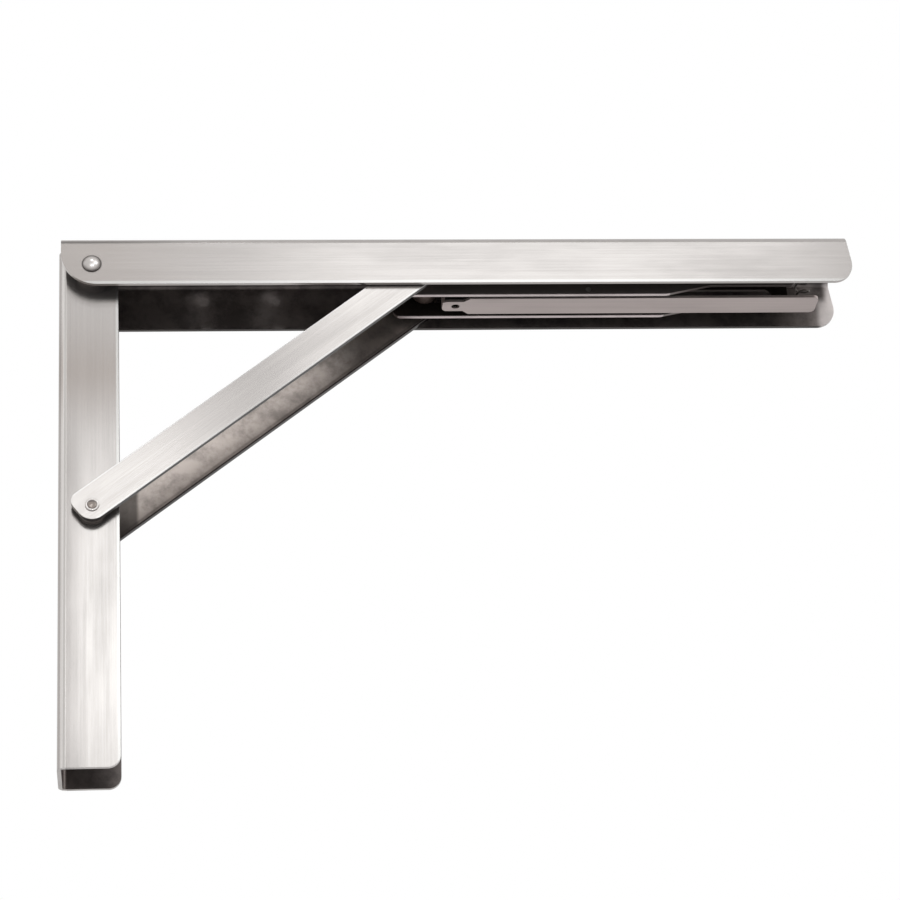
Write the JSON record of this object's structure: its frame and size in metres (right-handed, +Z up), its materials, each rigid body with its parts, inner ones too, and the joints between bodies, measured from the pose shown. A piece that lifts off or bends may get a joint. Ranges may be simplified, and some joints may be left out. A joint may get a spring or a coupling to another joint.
{
  "type": "folding shelf bracket",
  "caption": "Folding shelf bracket: a channel shelf arm pivots on a channel wall arm and is held level by strut bars whose upper pin slides along a rail.",
  "frame": {"origin": "centre of the wall screw pattern, on the face that lies against the wall", "axes": "+X out from the wall along the open shelf arm, +Z up to the shelf, Y along the pivots"},
  "size_m": [0.4012, 0.0514, 0.2786],
  "materials": {
    "channel_steel": "brushed stainless sheet, warm grey",
    "bar_steel": "brushed stainless bar, mill finish on the inner side",
    "rail_steel": "plain rolled stainless sheet",
    "lever_steel": "plain rolled stainless strip",
    "rivet_steel": "cold-headed stainless",
    "pin_steel": "turned stainless",
    "roller_steel": "turned steel, dull",
    "bush_steel": "turned steel, dull",
    "spring_steel": "drawn spring wire"
  },
  "bodies": {
    "wall_side": {"wall_arm": "channel_steel", "main_pivot_rivet_front": "rivet_steel", "main_pivot_rivet_rear": "rivet_steel", "main_pivot_bush_front": "bush_steel", "main_pivot_bush_rear": "bush_steel", "strut_pivot_rivet_front": "rivet_steel", "strut_pivot_rivet_rear": "rivet_steel", "strut_pivot_washer_front": "bush_steel", "strut_pivot_washer_rear": "bush_steel"},
    "shelf_side": {"shelf_arm": "channel_steel", "guide_rail": "rail_steel", "rail_rivets": "rivet_steel", "lever_pin": "pin_steel", "lever_spring": "spring_steel"},
    "slider": {"slide_pin": "pin_steel", "guide_roller": "roller_steel", "slide_bush_front": "bush_steel", "slide_bush_rear": "bush_steel"},
    "strut": {"strut_bar_front": "bar_steel", "strut_bar_rear": "bar_steel", "strut_end_rivet_front": "rivet_steel", "strut_end_rivet_rear": "rivet_steel"},
    "lever": {"release_lever": "lever_steel"}
  },
  "joints": [
    {"name": "shelf_fold", "type": "hinge", "parent": "wall_side", "child": "shelf_side", "pos_m": [0.0164, 0, 0.12505], "axis": [0, 1, 0], "range_deg": [0, 90]},
    {"name": "strut_swing", "type": "hinge", "parent": "wall_side", "child": "strut", "pos_m": [0.0164, 0, -0.00695], "axis": [0, 1, 0], "range_deg": [0, 128.17]},
    {"name": "pin_slide", "type": "slide", "parent": "shelf_side", "child": "slider", "axis": [1, 0, 0], "range_m": [0, 0.17767]},
    {"name": "lever_press", "type": "hinge", "parent": "shelf_side", "child": "lever", "pos_m": [0.2664, 0, 0.11645], "axis": [0, -1, 0], "range_deg": [0, 1.7], "stiffness_Nm_per_rad": 0.5, "springref_deg": -11.46, "deforming": ["lever_spring"]}
  ],
  "couplings": [
    {"joint": "strut_swing", "follows": "shelf_fold", "ratio": 1.424},
    {"joint": "pin_slide", "follows": "shelf_fold", "m_per_rad": 0.1131}
  ]
}
